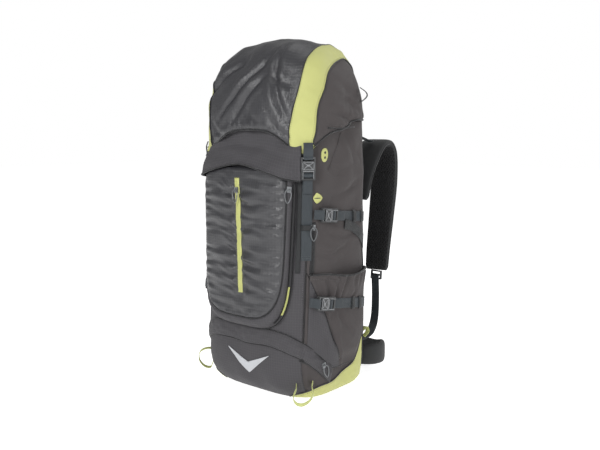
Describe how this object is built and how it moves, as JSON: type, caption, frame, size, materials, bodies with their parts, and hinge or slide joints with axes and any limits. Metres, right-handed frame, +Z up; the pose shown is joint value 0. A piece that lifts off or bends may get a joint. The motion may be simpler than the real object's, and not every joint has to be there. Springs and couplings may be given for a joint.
{
  "type": "hiking backpack",
  "caption": "Trekking backpack with a hinged lid over a snow collar, front and side pockets, compression straps with side-release buckles, a padded harness and a hip belt.",
  "frame": {"origin": "middle of the pack's outline on the floor it stands on", "axes": "+Z up along the pack, -Y out of the front pocket, +Y towards the wearer's back, +X to the right seen from the front"},
  "size_m": [0.3374, 0.3986, 0.721],
  "materials": {
    "dark_fabric": "tight coated weave",
    "gloss_fabric": "shiny ripstop",
    "side_fabric": "matt polyester",
    "lime_fabric": "lime polyester",
    "webbing": "woven webbing",
    "mesh_pad": "open spacer mesh over foam",
    "plastic": "satin moulded acetal",
    "zip_metal": "grey painted zinc",
    "stay_metal": "satin bar"
  },
  "bodies": {
    "bag": {"back_panel": "mesh_pad", "bottom_flap": "dark_fabric", "bottom_zip_slider": "zip_metal", "collar_drawcord": "webbing", "cord_lock_barrel": "plastic", "front_pocket": "gloss_fabric", "front_zip": "lime_fabric", "haul_loop": "webbing", "ice_axe_loop_left": "lime_fabric", "ice_axe_loop_right": "lime_fabric", "ladder_lock_left": "plastic", "ladder_lock_right": "plastic", "lid_strap_left": "webbing", "lid_strap_right": "webbing", "load_lifter_left": "webbing", "load_lifter_right": "webbing", "lower_compression_socket_left": "plastic", "lower_compression_socket_right": "plastic", "lower_compression_strap_left": "webbing", "lower_compression_strap_right": "webbing", "lumbar_pad": "mesh_pad", "main_bag": "dark_fabric", "shoulder_strap_left": "mesh_pad", "shoulder_strap_right": "mesh_pad", "shoulder_webbing_left": "webbing", "shoulder_webbing_right": "webbing", "side_pocket_left": "side_fabric", "side_pocket_right": "side_fabric", "snow_collar": "side_fabric", "stay_left": "stay_metal", "stay_right": "stay_metal", "sternum_socket": "plastic", "sternum_web_left": "webbing", "sternum_web_right": "webbing", "upper_compression_socket_left": "plastic", "upper_compression_socket_right": "plastic", "upper_compression_strap_left": "webbing", "upper_compression_strap_right": "webbing"},
    "lid": {"lid": "dark_fabric", "lid_socket_right": "plastic", "lid_socket_left": "plastic"},
    "cord_lock_button": {"cord_lock_button": "plastic"},
    "front_zip_slider": {"front_zip_slider": "zip_metal"},
    "pocket_side_slider": {"pocket_side_slider": "zip_metal"},
    "access_zip_slider": {"access_zip_slider": "zip_metal"},
    "front_zip_puller": {"front_zip_puller": "zip_metal"},
    "pocket_side_puller": {"pocket_side_puller": "zip_metal"},
    "access_zip_puller": {"access_zip_puller": "zip_metal"},
    "bottom_zip_puller": {"bottom_zip_puller": "zip_metal"},
    "upper_compression_plug_right": {"upper_compression_plug_right": "plastic"},
    "upper_compression_plug_left": {"upper_compression_plug_left": "plastic"},
    "lower_compression_plug_right": {"lower_compression_plug_right": "plastic"},
    "lower_compression_plug_left": {"lower_compression_plug_left": "plastic"},
    "lid_plug_right": {"lid_plug_right": "plastic"},
    "lid_plug_left": {"lid_plug_left": "plastic"},
    "sternum_plug": {"sternum_plug": "plastic"},
    "hip_wing_right": {"hip_wing_right": "mesh_pad", "hip_socket": "plastic"},
    "hip_wing_left": {"hip_wing_left": "mesh_pad"},
    "hip_plug": {"hip_plug": "plastic"}
  },
  "joints": [
    {"name": "lid_hinge", "type": "hinge", "parent": "bag", "child": "lid", "pos_m": [0, 0.05792, 0.561], "axis": [-1, 0, 0], "range_deg": [0, 90]},
    {"name": "cord_lock_press", "type": "slide", "parent": "bag", "child": "cord_lock_button", "axis": [0, 0, -1], "range_m": [0, 0.003], "stiffness_N_per_m": 200, "springref_m": -0.002},
    {"name": "front_zip_slide", "type": "slide", "parent": "bag", "child": "front_zip_slider", "axis": [0.0555, -0.0286, -0.998], "range_m": [0, 0.191]},
    {"name": "pocket_side_slide", "type": "slide", "parent": "bag", "child": "pocket_side_slider", "axis": [-0.0513, -0.0475, -0.9976], "range_m": [0, 0.19]},
    {"name": "access_zip_slide", "type": "slide", "parent": "bag", "child": "access_zip_slider", "axis": [-0.0004, -0.0263, -0.9997], "range_m": [0, 0.087]},
    {"name": "front_zip_puller_swing", "type": "hinge", "parent": "front_zip_slider", "child": "front_zip_puller", "pos_m": [-0.00292, -0.19752, 0.42474], "axis": [-0.9985, -0.0006, -0.0555], "range_deg": [0, 120]},
    {"name": "pocket_side_puller_swing", "type": "hinge", "parent": "pocket_side_slider", "child": "pocket_side_puller", "pos_m": [0.12517, -0.18138, 0.43074], "axis": [-0.9303, -0.361, 0.065], "range_deg": [0, 120]},
    {"name": "access_zip_puller_swing", "type": "hinge", "parent": "access_zip_slider", "child": "access_zip_puller", "pos_m": [0.14677, -0.13105, 0.35475], "axis": [-0.5319, -0.8465, 0.0225], "range_deg": [0, 120]},
    {"name": "bottom_zip_puller_swing", "type": "hinge", "parent": "bag", "child": "bottom_zip_puller", "pos_m": [0.1583, -0.10807, 0.07465], "axis": [-0.1426, -0.9528, -0.268], "range_deg": [0, 120]},
    {"name": "upper_compression_plug_right_pull", "type": "slide", "parent": "bag", "child": "upper_compression_plug_right", "axis": [0.1131, 0.988, -0.1055], "range_m": [0, 0.028]},
    {"name": "upper_compression_plug_left_pull", "type": "slide", "parent": "bag", "child": "upper_compression_plug_left", "axis": [-0.1131, 0.988, -0.1055], "range_m": [0, 0.028]},
    {"name": "lower_compression_plug_right_pull", "type": "slide", "parent": "bag", "child": "lower_compression_plug_right", "axis": [0.1928, 0.9689, -0.1552], "range_m": [0, 0.028]},
    {"name": "lower_compression_plug_left_pull", "type": "slide", "parent": "bag", "child": "lower_compression_plug_left", "axis": [-0.1928, 0.9689, -0.1552], "range_m": [0, 0.028]},
    {"name": "lid_plug_right_pull", "type": "slide", "parent": "bag", "child": "lid_plug_right", "axis": [0, 0, -1], "range_m": [0, 0.028]},
    {"name": "lid_plug_left_pull", "type": "slide", "parent": "bag", "child": "lid_plug_left", "axis": [0, 0, -1], "range_m": [0, 0.028]},
    {"name": "sternum_plug_pull", "type": "slide", "parent": "bag", "child": "sternum_plug", "axis": [-1, 0, 0], "range_m": [0, 0.028]},
    {"name": "hip_wing_right_swing", "type": "hinge", "parent": "bag", "child": "hip_wing_right", "pos_m": [0.092, 0.08122, 0.04], "axis": [0, 0, -1], "range_deg": [0, 50]},
    {"name": "hip_wing_left_swing", "type": "hinge", "parent": "bag", "child": "hip_wing_left", "pos_m": [-0.092, 0.08122, 0.04], "axis": [0, 0, 1], "range_deg": [0, 50]},
    {"name": "hip_plug_pull", "type": "slide", "parent": "hip_wing_left", "child": "hip_plug", "axis": [-1, 0, 0], "range_m": [0, 0.03]}
  ]
}
